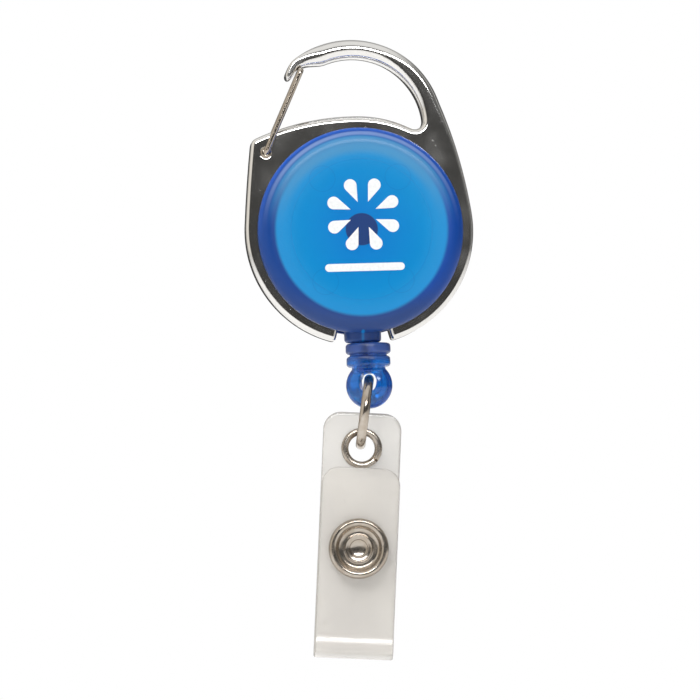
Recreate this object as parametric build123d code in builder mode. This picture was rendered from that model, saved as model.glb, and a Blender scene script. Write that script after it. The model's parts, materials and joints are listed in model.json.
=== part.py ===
"""Retractable badge reel with a spring-gate carabiner frame and a snap strap.

The object hangs from its carabiner: +Z is up, the printed face looks along -Y, and the
origin is on the reel's axis, at the flat back face.  All lengths are in millimetres.

Bench order: carabiner frame and its wire gate, the two case halves, the spool with its
power spring and cord, the cord's bead, the jump ring, then the folded vinyl strap with
its eyelet and snap fastener.
"""

from build123d import *
from math import asin, atan2, cos, degrees, hypot, radians, sin
import os

os.makedirs("parts", exist_ok=True)

# ---------------------------------------------------------------- driving dimensions
CASE_RADIUS = 16.0          # reel case, over its two flanges
CASE_DEPTH = 9.4            # printed face to back face
FRAME_DEPTH = 4.4           # thickness of the cast frame
WALL = 1.2                  # case wall
CAVITY_RADIUS = 14.15
SPIGOT_RADIUS = 15.35       # case halves meet inside the frame's ring
ARBOR_RADIUS = 2.5
NOZZLE_RADIUS, NOZZLE_END = 2.85, -17.35
NOZZLE_BORE = 1.0
CORD_RADIUS = 0.4
CORD_X = 0.45               # the cord lies to one side of its outlet
BEAD_X = 0.78               # and the loose bead a little further
GATE_WIRE = 0.45            # radius of the gate's wire
RING_WIRE, RING_MEAN = 0.75, 5.14
RING_LEAN = 9.3             # degrees the slack ring leans to the left
EYE_TURN, RING_TURN = 14.0, 5.0     # degrees the bead and the ring are turned, rear to the right
STRAP_WIDTH = 12.2
STRAP_THICKNESS = 0.6
STRAP_LEAN = 4.4            # degrees the strap leans to the left
RUNNING = 0.08              # radial clearance of a turning fit
TOUCH = 0.02                # gap between fixed pieces that bear on each other

MID_Y = -CASE_DEPTH / 2
FRAME_FRONT_Y = MID_Y - FRAME_DEPTH / 2
FRAME_REAR_Y = MID_Y + FRAME_DEPTH / 2
FRONT_INNER_Y = WALL - CASE_DEPTH
REAR_INNER_Y = -WALL


def polar(centre, radius, angle):
    """Point at an angle, in degrees from +X, on a circle in the XZ plane."""
    across = radius * cos(radians(angle))
    up = radius * sin(radians(angle))
    return (centre[0] + across, centre[1] + up)


def bearing(centre, point):
    """Angle in degrees of a point seen from a centre."""
    return degrees(atan2(point[1] - centre[1], point[0] - centre[0]))


def lathe_plane(x, z):
    """Sketch plane whose X is a radius and whose Y is depth, for turning about +Y."""
    return Plane(origin=(x, 0, z), x_dir=(1, 0, 0), z_dir=(0, 0, 1))


def upright_plane(x):
    """Sketch plane whose X is a radius and whose Y is height, for turning about +Z."""
    return Plane(origin=(x, MID_Y, 0), x_dir=(1, 0, 0), z_dir=(0, -1, 0))


# ---------------------------------------------------------------- carabiner frame
AXIS_POINT = (0.0, 0.0)
RING_OUTER, RING_INNER = 17.75, 15.4
RING_GAP = 14.5             # half angle of the gap below, degrees
LOOP_CENTRE, LOOP_RADIUS = (-0.68, 15.6), 14.4
LOOP_END, RING_START = 17.3, 7.8       # where the right flank leaves loop and ring
WINDOW_CENTRE, WINDOW_RADIUS = (-0.53, 15.95), 11.05
WINDOW_CORNER = (9.17, 16.93)
WINDOW_CORNER_RADIUS = 1.3
BAR_RADIUS = 17.95          # top edge of the crossbar, concentric with the reel
BAR_LEVEL = 88.0            # angle where that edge becomes flatter
SHOULDER = (-16.5, 14.5)    # left corner that carries the gate's pivot
GATE_PIVOT = (-14.35, 12.49)
GATE_TOP = (-8.5, 25.2)     # the gate's cross wire, in the crook of the nose
CROOK_RADIUS = 0.62
PIVOT_HOLE, PIVOT_DIMPLE = 0.53, 0.85
EDGE_BEVEL = 0.35

window_low = polar(WINDOW_CENTRE, WINDOW_RADIUS, bearing(WINDOW_CENTRE, WINDOW_CORNER))
bar_right = polar(AXIS_POINT, BAR_RADIUS, bearing(AXIS_POINT, WINDOW_CORNER))
bar_level = polar(AXIS_POINT, BAR_RADIUS, BAR_LEVEL)
loop_end = polar(LOOP_CENTRE, LOOP_RADIUS, LOOP_END)
flank_start = polar(AXIS_POINT, RING_OUTER, RING_START)
nose_top = polar(LOOP_CENTRE, LOOP_RADIUS, 130.5)
nose_side = (-11.0, 24.5)
nose_tip = (-10.5, 23.45)
crook_start = polar(GATE_TOP, CROOK_RADIUS, 178)
crook_end = polar(GATE_TOP, CROOK_RADIUS, 62)
nose_root = (-7.6, 26.05)
step_low = (-4.9, 26.1)
window_start = polar(WINDOW_CENTRE, WINDOW_RADIUS, 111.0)
nose_rounds = (
    (SHOULDER, 0.8),
    (nose_top, 0.9),
    (nose_side, 0.5),
    (nose_tip, 0.4),
    (step_low, 0.8),
)

with BuildPart() as carabiner_frame:
    with BuildSketch(Plane.XZ.offset(-FRAME_REAR_Y)) as frame_outline:
        with BuildLine():
            end_right = polar(AXIS_POINT, RING_OUTER, RING_GAP - 90)
            end_left = polar(AXIS_POINT, RING_OUTER, -RING_GAP - 90)
            inner_right = polar(AXIS_POINT, RING_INNER, RING_GAP - 90)
            inner_left = polar(AXIS_POINT, RING_INNER, -RING_GAP - 90)
            left_start = polar(AXIS_POINT, RING_OUTER + 0.1, 176)
            ThreePointArc(end_right, polar(AXIS_POINT, RING_OUTER, -30), flank_start)
            flank_way = (-sin(radians(RING_START)), cos(radians(RING_START)))
            TangentArc(flank_start, loop_end, tangent=flank_way)
            ThreePointArc(loop_end, polar(LOOP_CENTRE, LOOP_RADIUS, 75), nose_top)
            Polyline(nose_top, nose_side, nose_tip, crook_start)
            ThreePointArc(crook_start, polar(GATE_TOP, CROOK_RADIUS, 120), crook_end)
            Polyline(crook_end, nose_root, step_low, window_start)
            ThreePointArc(window_start, polar(WINDOW_CENTRE, WINDOW_RADIUS, 60), window_low)
            corner_mid = polar(WINDOW_CORNER, WINDOW_CORNER_RADIUS, -56)
            ThreePointArc(window_low, corner_mid, bar_right)
            ThreePointArc(bar_right, polar(AXIS_POINT, BAR_RADIUS, 75), bar_level)
            TangentArc(bar_level, SHOULDER, tangent=(-1, 0.03))
            TangentArc(left_start, SHOULDER, tangent=(0.07, 1))
            ThreePointArc(left_start, polar(AXIS_POINT, RING_OUTER, -140), end_left)
            Line(end_left, inner_left)
            ThreePointArc(inner_left, (0, RING_INNER), inner_right)
            Line(inner_right, end_right)
        make_face()
        for corner, radius in nose_rounds:
            fillet(frame_outline.vertices().sort_by_distance(corner)[0], radius)
    extrude(amount=FRAME_DEPTH)
    ring_edges = carabiner_frame.edges().filter_by(
        lambda edge: abs(hypot((edge @ 0.5).X, (edge @ 0.5).Z) - RING_INNER) < 0.01
    )
    face_edges = carabiner_frame.faces().filter_by(Axis.Y).edges() - ring_edges
    chamfer(face_edges, EDGE_BEVEL)
    for side in (1, -1):
        with Locations(
            Location((GATE_PIVOT[0], MID_Y + side * FRAME_DEPTH / 2, GATE_PIVOT[1]), (90, 0, 0))
        ):
            Cylinder(PIVOT_HOLE, 3.2, mode=Mode.SUBTRACT)
            Cylinder(PIVOT_DIMPLE, 0.5, mode=Mode.SUBTRACT)
carabiner_frame.part.label = "carabiner_frame"
export_step(carabiner_frame.part, "parts/carabiner_frame.step")

# Sprung wire gate: two legs straddle the frame, their ends turn into the pivot holes.
LEG_Y = FRAME_DEPTH / 2 + GATE_WIRE + 0.12
with BuildPart() as gate_wire:
    with BuildLine() as gate_path:
        FilletPolyline(
            (GATE_PIVOT[0], FRAME_FRONT_Y + 1.35, GATE_PIVOT[1]),
            (GATE_PIVOT[0], MID_Y - LEG_Y, GATE_PIVOT[1]),
            (GATE_TOP[0], MID_Y - LEG_Y, GATE_TOP[1]),
            (GATE_TOP[0], MID_Y + LEG_Y, GATE_TOP[1]),
            (GATE_PIVOT[0], MID_Y + LEG_Y, GATE_PIVOT[1]),
            (GATE_PIVOT[0], FRAME_REAR_Y - 1.35, GATE_PIVOT[1]),
            radius=0.5,
        )
    with BuildSketch(Plane(origin=gate_path.line @ 0, z_dir=gate_path.line % 0)):
        Circle(GATE_WIRE)
    sweep(transition=Transition.ROUND)
gate_wire.part.label = "gate_wire"
export_step(gate_wire.part, "parts/gate_wire.step")

# ---------------------------------------------------------------- reel case
FLANGE_GAP = 0.05           # the flanges grip the frame's ring front and back
FACE_RADIUS = 13.6          # flat part of the printed face
BACK_RADIUS = 15.0
OUTLET_FLARE = 0.1
NOZZLE_TOP = -14.6
NOZZLE_OUTLINE = (
    (0, NOZZLE_TOP),
    (NOZZLE_RADIUS + OUTLET_FLARE, NOZZLE_TOP),
    (NOZZLE_RADIUS, NOZZLE_END),
    (0, NOZZLE_END),
)
MOUTH_RADIUS, MOUTH_LOW = 2.0, -15.05      # wider mouth where the cord turns down
PIN_MARK_RADIUS = 2.0
PIN_MARKS = ((-5.9, -8.0), (5.9, -8.0), (-5.9, 8.0), (5.9, 8.0))
SPRING_SLOT = 0.55

with BuildPart() as front_case:
    with BuildSketch(lathe_plane(0, 0)):
        with BuildLine():
            Polyline(
                (0, FRONT_INNER_Y),
                (0, -CASE_DEPTH),
                (FACE_RADIUS, -CASE_DEPTH),
            )
            TangentArc(
                (FACE_RADIUS, -CASE_DEPTH), (CASE_RADIUS, FRAME_FRONT_Y - 0.7), tangent=(1, 0)
            )
            Polyline(
                (CASE_RADIUS, FRAME_FRONT_Y - 0.7),
                (CASE_RADIUS, FRAME_FRONT_Y - FLANGE_GAP),
                (SPIGOT_RADIUS, FRAME_FRONT_Y - FLANGE_GAP),
                (SPIGOT_RADIUS, MID_Y - TOUCH / 2),
                (CAVITY_RADIUS, MID_Y - TOUCH / 2),
                (CAVITY_RADIUS, FRONT_INNER_Y),
                (0, FRONT_INNER_Y),
            )
        make_face()
    revolve(axis=Axis.Y)
    with BuildSketch(upright_plane(0)):
        with BuildLine():
            Polyline(*NOZZLE_OUTLINE, close=True)
        nozzle_outline = make_face()
        fillet(nozzle_outline.vertices().sort_by(Axis.Y)[:2].sort_by(Axis.X)[-1:], 0.5)
    revolve(axis=Axis((0, MID_Y, 0), (0, 0, 1)))
    with Locations((0, MID_Y - TOUCH / 2, 0)):
        Box(8, 10, 60, align=(Align.CENTER, Align.MIN, Align.CENTER), mode=Mode.SUBTRACT)
    with BuildSketch(Plane.XZ.offset(-MID_Y)):
        Circle(CAVITY_RADIUS)
    extrude(amount=MID_Y - FRONT_INNER_Y, mode=Mode.SUBTRACT)
    with Locations((0, MID_Y, NOZZLE_END - 1)):
        Cylinder(
            NOZZLE_BORE, 6, align=(Align.CENTER, Align.CENTER, Align.MIN), mode=Mode.SUBTRACT
        )
    with Locations((0, MID_Y, MOUTH_LOW)):
        Cylinder(
            MOUTH_RADIUS, 3, align=(Align.CENTER, Align.CENTER, Align.MIN), mode=Mode.SUBTRACT
        )
    with BuildSketch(Plane.XZ.offset(-FRONT_INNER_Y)):
        with Locations(*PIN_MARKS):
            Circle(PIN_MARK_RADIUS)
    extrude(amount=0.12, mode=Mode.SUBTRACT)
front_case.part.label = "front_case"
export_step(front_case.part, "parts/front_case.step")

with BuildPart() as rear_case:
    with BuildSketch(lathe_plane(0, 0)):
        with BuildLine():
            Polyline((0, REAR_INNER_Y), (0, 0), (BACK_RADIUS, 0))
            TangentArc((BACK_RADIUS, 0), (CASE_RADIUS, -1.0), tangent=(1, 0))
            Polyline(
                (CASE_RADIUS, -1.0),
                (CASE_RADIUS, FRAME_REAR_Y + FLANGE_GAP),
                (SPIGOT_RADIUS, FRAME_REAR_Y + FLANGE_GAP),
                (SPIGOT_RADIUS, MID_Y + TOUCH / 2),
                (CAVITY_RADIUS, MID_Y + TOUCH / 2),
                (CAVITY_RADIUS, REAR_INNER_Y),
                (0, REAR_INNER_Y),
            )
        make_face()
    revolve(axis=Axis.Y)
    with BuildSketch(upright_plane(0)):
        with BuildLine():
            Polyline(*NOZZLE_OUTLINE, close=True)
        nozzle_outline = make_face()
        fillet(nozzle_outline.vertices().sort_by(Axis.Y)[:2].sort_by(Axis.X)[-1:], 0.5)
    revolve(axis=Axis((0, MID_Y, 0), (0, 0, 1)))
    with Locations((0, MID_Y + TOUCH / 2, 0)):
        Box(8, 10, 60, align=(Align.CENTER, Align.MAX, Align.CENTER), mode=Mode.SUBTRACT)
    with BuildSketch(Plane.XZ.offset(-REAR_INNER_Y)):
        Circle(CAVITY_RADIUS)
    extrude(amount=REAR_INNER_Y - MID_Y, mode=Mode.SUBTRACT)
    with Locations((0, MID_Y, NOZZLE_END - 1)):
        Cylinder(
            NOZZLE_BORE, 6, align=(Align.CENTER, Align.CENTER, Align.MIN), mode=Mode.SUBTRACT
        )
    with Locations((0, MID_Y, MOUTH_LOW)):
        Cylinder(
            MOUTH_RADIUS, 3, align=(Align.CENTER, Align.CENTER, Align.MIN), mode=Mode.SUBTRACT
        )
    with BuildSketch(Plane.XZ.offset(-REAR_INNER_Y)):
        Circle(ARBOR_RADIUS)
        Rectangle(SPRING_SLOT, 2 * ARBOR_RADIUS + 1, mode=Mode.SUBTRACT)
    extrude(amount=REAR_INNER_Y - FRONT_INNER_Y - 0.1)
    with BuildSketch(Plane.XZ.offset(-REAR_INNER_Y)):
        Circle(ARBOR_RADIUS + 0.9)
        Circle(ARBOR_RADIUS, mode=Mode.SUBTRACT)
    extrude(amount=0.5)
rear_case.part.label = "rear_case"
export_step(rear_case.part, "parts/rear_case.step")

# ---------------------------------------------------------------- spool, spring and cord
SPOOL_RADIUS = 13.3
DRUM_OUTER, DRUM_INNER = 10.2, 9.4
WEB_FRONT_Y, WEB_REAR_Y = -7.9, -7.1
RIM_FRONT_Y, RIM_REAR_Y = -3.6, -2.8
DRUM_NOTCH = 0.7

with BuildPart() as spool:
    with BuildSketch(lathe_plane(0, 0)):
        with BuildLine():
            Polyline(
                (ARBOR_RADIUS + RUNNING, WEB_REAR_Y),
                (ARBOR_RADIUS + RUNNING, WEB_FRONT_Y),
                (SPOOL_RADIUS, WEB_FRONT_Y),
                (SPOOL_RADIUS, WEB_REAR_Y),
                (DRUM_OUTER, WEB_REAR_Y),
                (DRUM_OUTER, RIM_FRONT_Y),
                (SPOOL_RADIUS, RIM_FRONT_Y),
                (SPOOL_RADIUS, RIM_REAR_Y),
                (DRUM_INNER, RIM_REAR_Y),
                (DRUM_INNER, WEB_REAR_Y),
                close=True,
            )
        make_face()
    revolve(axis=Axis.Y)
    with BuildSketch(Plane.XZ.offset(-RIM_REAR_Y)):
        with Locations((0, -(DRUM_INNER + DRUM_OUTER) / 2)):
            Rectangle(DRUM_NOTCH, 1.6)
    extrude(amount=RIM_REAR_Y - WEB_REAR_Y, mode=Mode.SUBTRACT)
spool.part.label = "spool"
export_step(spool.part, "parts/spool.step")

# Clock spring: a strip coiled from the arbor's slot out to the notch in the drum.
SPRING_STRIP = 0.14
SPRING_TURNS = 9
SPRING_START, SPRING_END = 2.95, 9.05
SPRING_FRONT_Y, SPRING_REAR_Y = -6.9, -2.9
half_turns = 2 * SPRING_TURNS
spring_step = (SPRING_END - SPRING_START) / half_turns

with BuildPart() as power_spring:
    with BuildSketch(Plane.XZ.offset(-SPRING_REAR_Y)):
        with BuildLine():
            Line((0, -1.4), (0, -SPRING_START))
            for half in range(half_turns):
                side = -1 if half % 2 == 0 else 1
                begin = side * (SPRING_START + half * spring_step)
                finish = -side * (SPRING_START + (half + 1) * spring_step)
                bulge = (-side * abs(finish - begin) / 2, (begin + finish) / 2)
                ThreePointArc((0, begin), bulge, (0, finish))
            Line((0, -SPRING_END), (0, -SPRING_END - 0.9))
        trace(line_width=SPRING_STRIP)
    extrude(amount=SPRING_REAR_Y - SPRING_FRONT_Y)
power_spring.part.label = "power_spring"
export_step(power_spring.part, "parts/power_spring.step")

# Wound cord: one line lying side by side in layers between the spool's two rims.
CORD_PITCH = 0.82
WOUND_LAYERS = 3
with BuildPart() as cord_winding:
    with BuildSketch(lathe_plane(0, 0)):
        for layer in range(WOUND_LAYERS):
            row = 4 - layer % 2
            height = DRUM_OUTER + CORD_RADIUS + 0.03 + layer * 0.71
            middle = (WEB_REAR_Y + RIM_FRONT_Y) / 2
            with Locations((height, middle)):
                with GridLocations(1, CORD_PITCH, 1, row):
                    Circle(CORD_RADIUS + 0.015)
    revolve(axis=Axis.Y)
cord_winding.part.label = "cord_winding"
export_step(cord_winding.part, "parts/cord_winding.step")

# Free end of the cord: it leaves the winding at a tangent and turns down the outlet.
LEAD_TOP = -14.9            # where the cord meets the outlet's inner mouth
KNOT_Z = -20.6
lead_radius = DRUM_OUTER + CORD_RADIUS + WOUND_LAYERS * 0.71 + 0.2
lead_side = degrees(asin(lead_radius / -LEAD_TOP))
with BuildPart() as cord_lead:
    with BuildLine() as lead_path:
        turn = radians(90 - lead_side)
        FilletPolyline(
            (lead_radius * sin(turn), MID_Y, -lead_radius * cos(turn)),
            (CORD_X, MID_Y, LEAD_TOP + 0.3),
            (CORD_X, MID_Y, KNOT_Z + 0.72),
            radius=1.2,
        )
    with BuildSketch(Plane(origin=lead_path.line @ 0, z_dir=lead_path.line % 0)):
        Circle(CORD_RADIUS)
    sweep()
cord_lead.part.label = "cord_lead"
export_step(cord_lead.part, "parts/cord_lead.step")

# Crimped stop that holds the cord inside the bead.
KNOT_RADIUS, KNOT_LENGTH = 0.95, 1.4
with BuildPart() as cord_knot:
    with Locations((CORD_X, MID_Y, KNOT_Z)):
        Cylinder(KNOT_RADIUS, KNOT_LENGTH)
    fillet(cord_knot.edges(), 0.35)
cord_knot.part.label = "cord_knot"
export_step(cord_knot.part, "parts/cord_knot.step")

# ---------------------------------------------------------------- bead and jump ring
BEAD_TOP = -17.5
EYE_RADIUS, EYE_Z = 3.64, -24.05
EYE_FLATTEN = 0.62          # the eye is thinner front to back so that the ring clears it
EYE_HOLE_WIDTH, EYE_HOLE_TOP, EYE_HOLE_BOTTOM = 2.6, -22.2, -25.0

PIVOT_Z = -23.1             # the ring's wire hangs here, in the eye's hole
PIVOT = (BEAD_X, MID_Y, PIVOT_Z)


def turned_plane(turn):
    """Upright plane through the bead's axis that faces the front, turned about that axis."""
    across, forward = cos(radians(turn)), sin(radians(turn))
    return Plane(
        origin=(BEAD_X, MID_Y, 0), x_dir=(across, -forward, 0), z_dir=(-forward, -across, 0)
    )


lean = radians(RING_LEAN)
eye_plane, swing_plane = turned_plane(EYE_TURN), turned_plane(RING_TURN)
hang = swing_plane.x_dir * -sin(lean) + Vector(0, 0, -cos(lean))     # from the pivot down the ring
ring_plane = Plane(
    origin=Vector(*PIVOT) + hang * RING_MEAN,
    x_dir=-swing_plane.z_dir,
    z_dir=swing_plane.x_dir * cos(lean) + Vector(0, 0, -sin(lean)),
)

with BuildPart() as cord_end_bead:
    with BuildSketch(Plane(origin=(BEAD_X, MID_Y, EYE_Z), x_dir=eye_plane.x_dir, z_dir=(0, 0, 1))):
        Ellipse(EYE_RADIUS, EYE_RADIUS * EYE_FLATTEN)
        Rectangle(
            EYE_RADIUS, 2 * EYE_RADIUS, align=(Align.MAX, Align.CENTER), mode=Mode.SUBTRACT
        )
    revolve(axis=Axis((BEAD_X, MID_Y, EYE_Z), eye_plane.z_dir))
    with BuildSketch(upright_plane(BEAD_X)):
        with BuildLine():
            Polyline((0, -22.0), (0, BEAD_TOP), (3.5, BEAD_TOP), (3.5, -19.2), (2.85, -19.2))
            Polyline((2.85, -19.2), (2.85, -19.5), (3.42, -19.5), (3.42, -21.2), (2.6, -21.2))
            Polyline((2.6, -21.2), (2.6, -22.0), (0, -22.0))
        barrel_outline = make_face()
        fillet(barrel_outline.vertices().filter_by(lambda corner: corner.X > 3.4), 0.5)
    revolve(axis=Axis((BEAD_X, MID_Y, 0), (0, 0, 1)))
    with BuildSketch(eye_plane):
        with Locations((0, (EYE_HOLE_TOP + EYE_HOLE_BOTTOM) / 2)):
            RectangleRounded(EYE_HOLE_WIDTH, EYE_HOLE_TOP - EYE_HOLE_BOTTOM, 0.9)
    extrude(amount=6, both=True, mode=Mode.SUBTRACT)
    with Locations(Plane(origin=(BEAD_X, MID_Y, PIVOT_Z - RING_MEAN), z_dir=swing_plane.x_dir)):
        Torus(RING_MEAN, RING_WIRE + 0.4, mode=Mode.SUBTRACT)
    with Locations((CORD_X, MID_Y, BEAD_TOP)):
        Cylinder(0.55, 8, mode=Mode.SUBTRACT)
    with Locations((CORD_X, MID_Y, EYE_HOLE_TOP - 0.1)):
        Cylinder(
            KNOT_RADIUS + 0.2,
            KNOT_Z + KNOT_LENGTH / 2 + 0.2 - EYE_HOLE_TOP + 0.1,
            align=(Align.CENTER, Align.CENTER, Align.MIN),
            mode=Mode.SUBTRACT,
        )
cord_end_bead.part.label = "cord_end_bead"
export_step(cord_end_bead.part, "parts/cord_end_bead.step")

with BuildPart(ring_plane) as jump_ring:
    Torus(RING_MEAN, RING_WIRE)
    with Locations((RING_MEAN, 0, 0)):
        Box(3, 0.06, 4, mode=Mode.SUBTRACT)
jump_ring.part.label = "jump_ring"
export_step(jump_ring.part, "parts/jump_ring.step")

# ---------------------------------------------------------------- strap, eyelet and snap
EYELET = (-0.75, -33.82)
STRAP_TOP, FLAP_TOP = 5.55, -3.08      # measured along the strap from its eyelet
SNAP_DOWN = -15.64
STRAP_BOTTOM = -32.52
CORNER_RADIUS = 2.75
FLAP_WIDTH = 12.0
LAYER_GAP = 1.3             # the closed snap holds the two layers this far apart
BACK_REAR_Y = MID_Y + STRAP_THICKNESS / 2
BACK_FRONT_Y = BACK_REAR_Y - STRAP_THICKNESS
FLAP_REAR_Y = BACK_FRONT_Y - LAYER_GAP
FLAP_FRONT_Y = FLAP_REAR_Y - STRAP_THICKNESS
FOLD_INNER = LAYER_GAP / 2
FOLD_OUTER = FOLD_INNER + STRAP_THICKNESS
FOLD_LEVEL = STRAP_BOTTOM + FOLD_OUTER
RIVET_HOLE, RIVET = 1.25, 1.2
strap_across = (cos(radians(STRAP_LEAN)), 0, -sin(radians(STRAP_LEAN)))


def strap_plane(y):
    """Sketch plane on a layer of the strap, with its origin at the eyelet."""
    return Plane(origin=(EYELET[0], y, EYELET[1]), x_dir=strap_across, z_dir=(0, -1, 0))


snap_centre = strap_plane(0).from_local_coords((0, SNAP_DOWN))
snap_axis = Axis((snap_centre.X, 0, snap_centre.Z), (0, 1, 0))
eyelet_axis = Axis((EYELET[0], 0, EYELET[1]), (0, 1, 0))

with BuildPart() as strap_back:
    with BuildSketch(strap_plane(BACK_REAR_Y)) as back_outline:
        with Locations((0, STRAP_TOP)):
            Rectangle(
                STRAP_WIDTH, STRAP_TOP - FOLD_LEVEL - TOUCH, align=(Align.CENTER, Align.MAX)
            )
        fillet(back_outline.vertices().group_by(Axis.Y)[-1], CORNER_RADIUS)
        Circle(2.42, mode=Mode.SUBTRACT)
        with Locations((0, SNAP_DOWN)):
            Circle(RIVET_HOLE, mode=Mode.SUBTRACT)
    extrude(amount=STRAP_THICKNESS)
strap_back.part.label = "strap_back"
export_step(strap_back.part, "parts/strap_back.step")

with BuildPart() as strap_flap:
    with BuildSketch(strap_plane(FLAP_REAR_Y)) as flap_outline:
        with Locations((0, FLAP_TOP)):
            Rectangle(
                FLAP_WIDTH, FLAP_TOP - FOLD_LEVEL - TOUCH, align=(Align.CENTER, Align.MAX)
            )
        fillet(flap_outline.vertices().group_by(Axis.Y)[-1], CORNER_RADIUS)
        with Locations((0, SNAP_DOWN)):
            Circle(RIVET_HOLE, mode=Mode.SUBTRACT)
    extrude(amount=STRAP_THICKNESS)
strap_flap.part.label = "strap_flap"
export_step(strap_flap.part, "parts/strap_flap.step")

# Living hinge: the strap turns through a half circle between its two layers.
fold_y = (BACK_FRONT_Y + FLAP_REAR_Y) / 2
fold_plane = Plane(origin=(EYELET[0], 0, EYELET[1]), x_dir=(0, 1, 0), z_dir=strap_across)
with BuildPart() as strap_fold:
    with BuildSketch(fold_plane):
        with Locations((fold_y, FOLD_LEVEL)):
            Circle(FOLD_OUTER)
            Circle(FOLD_INNER, mode=Mode.SUBTRACT)
            Rectangle(4, 4, align=(Align.CENTER, Align.MIN), mode=Mode.SUBTRACT)
    extrude(amount=FLAP_WIDTH / 2, both=True)
strap_fold.part.label = "strap_fold"
export_step(strap_fold.part, "parts/strap_fold.step")

with BuildPart() as strap_eyelet:
    with BuildSketch(lathe_plane(*EYELET)):
        with BuildLine():
            Polyline(
                (2.06, BACK_FRONT_Y - 0.42),
                (3.17, BACK_FRONT_Y - 0.42),
                (3.17, BACK_FRONT_Y - TOUCH),
                (2.38, BACK_FRONT_Y - TOUCH),
                (2.38, BACK_REAR_Y + TOUCH),
                (3.17, BACK_REAR_Y + TOUCH),
                (3.17, BACK_REAR_Y + 0.42),
                (2.06, BACK_REAR_Y + 0.42),
                close=True,
            )
        eyelet_section = make_face()
        rolled = eyelet_section.vertices().filter_by(
            lambda corner: corner.Y > BACK_REAR_Y + 0.4 or corner.Y < BACK_FRONT_Y - 0.4
        )
        fillet(rolled, 0.3)
    revolve(axis=eyelet_axis)
strap_eyelet.part.label = "strap_eyelet"
export_step(strap_eyelet.part, "parts/strap_eyelet.step")

with BuildPart() as snap_post:
    with BuildSketch(lathe_plane(snap_centre.X, snap_centre.Z)):
        with BuildLine():
            Polyline(
                (0, BACK_REAR_Y + 0.3),
                (1.3, BACK_REAR_Y + 0.3),
                (1.6, BACK_REAR_Y + 0.55),
                (3.5, BACK_REAR_Y + 0.55),
                (3.9, BACK_REAR_Y + 0.3),
                (3.9, BACK_REAR_Y + TOUCH),
                (RIVET, BACK_REAR_Y + TOUCH),
                (RIVET, BACK_FRONT_Y),
                (0, BACK_FRONT_Y),
                close=True,
            )
        make_face()
    revolve(axis=snap_axis)
snap_post.part.label = "snap_post"
export_step(snap_post.part, "parts/snap_post.step")

STUD_BASE_Y = BACK_FRONT_Y - 0.22
KNOB_RADIUS = 1.7
with BuildPart() as snap_stud:
    with BuildSketch(lathe_plane(snap_centre.X, snap_centre.Z)):
        with BuildLine():
            Polyline(
                (0, BACK_FRONT_Y - TOUCH),
                (3.3, BACK_FRONT_Y - TOUCH),
                (3.3, STUD_BASE_Y),
                (1.4, STUD_BASE_Y),
                (1.4, STUD_BASE_Y - 0.25),
                (KNOB_RADIUS, STUD_BASE_Y - 0.4),
                (KNOB_RADIUS, STUD_BASE_Y - 0.6),
                (KNOB_RADIUS - 0.3, STUD_BASE_Y - 0.78),
                (0, STUD_BASE_Y - 0.78),
                close=True,
            )
        make_face()
    revolve(axis=snap_axis)
snap_stud.part.label = "snap_stud"
export_step(snap_stud.part, "parts/snap_stud.step")

SOCKET_MOUTH_Y = FLAP_REAR_Y + 0.9
with BuildPart() as snap_socket:
    with BuildSketch(lathe_plane(snap_centre.X, snap_centre.Z)):
        with BuildLine():
            Polyline(
                (0, FLAP_REAR_Y + TOUCH),
                (3.7, FLAP_REAR_Y + TOUCH),
                (3.7, FLAP_REAR_Y + 0.2),
                (2.9, FLAP_REAR_Y + 0.3),
                (2.7, SOCKET_MOUTH_Y),
                (KNOB_RADIUS + 0.2, SOCKET_MOUTH_Y),
                (KNOB_RADIUS + 0.2, FLAP_REAR_Y + 0.6),
                (2.3, FLAP_REAR_Y + 0.6),
                (2.3, FLAP_REAR_Y + 0.2),
                (0, FLAP_REAR_Y + 0.2),
                close=True,
            )
        make_face()
    revolve(axis=snap_axis)
snap_socket.part.label = "snap_socket"
export_step(snap_socket.part, "parts/snap_socket.step")

# Open wire ring inside the socket that snaps over the stud's knob.
with BuildPart() as snap_spring:
    with BuildSketch(lathe_plane(snap_centre.X, snap_centre.Z)):
        with Locations((KNOB_RADIUS + 0.38, FLAP_REAR_Y + 0.4)):
            Circle(0.15)
    revolve(axis=snap_axis, revolution_arc=300)
snap_spring.part.label = "snap_spring"
export_step(snap_spring.part, "parts/snap_spring.step")

with BuildPart() as snap_cap:
    with BuildSketch(lathe_plane(snap_centre.X, snap_centre.Z)):
        with BuildLine():
            Polyline(
                (0, FLAP_REAR_Y),
                (0, FLAP_FRONT_Y - 0.2),
                (1.3, FLAP_FRONT_Y - 0.25),
                (1.75, FLAP_FRONT_Y - 0.85),
                (1.95, FLAP_FRONT_Y - 0.95),
                (2.2, FLAP_FRONT_Y - 0.85),
                (2.35, FLAP_FRONT_Y - 0.45),
                (3.1, FLAP_FRONT_Y - 0.45),
                (3.35, FLAP_FRONT_Y - 1.05),
                (3.7, FLAP_FRONT_Y - 1.35),
                (4.2, FLAP_FRONT_Y - 1.35),
                (4.6, FLAP_FRONT_Y - 1.0),
                (4.7, FLAP_FRONT_Y - 0.6),
                (4.7, FLAP_FRONT_Y - TOUCH),
                (RIVET, FLAP_FRONT_Y - TOUCH),
                (RIVET, FLAP_REAR_Y),
                close=True,
            )
        make_face()
    revolve(axis=snap_axis)
snap_cap.part.label = "snap_cap"
export_step(snap_cap.part, "parts/snap_cap.step")
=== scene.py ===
"""Looks for a retractable badge reel: chromed carabiner, blue reel, bead, ring and snap strap."""

import json
from math import asin, atan2, cos, degrees, exp, hypot, pi, radians, sin

import bmesh
import bpy
import numpy as np
from bpy.props import FloatProperty, FloatVectorProperty, IntProperty, PointerProperty
from bpy.types import Operator, Panel, PropertyGroup
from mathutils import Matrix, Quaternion, Vector
from mathutils.geometry import delaunay_2d_cdt, interpolate_bezier


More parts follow.
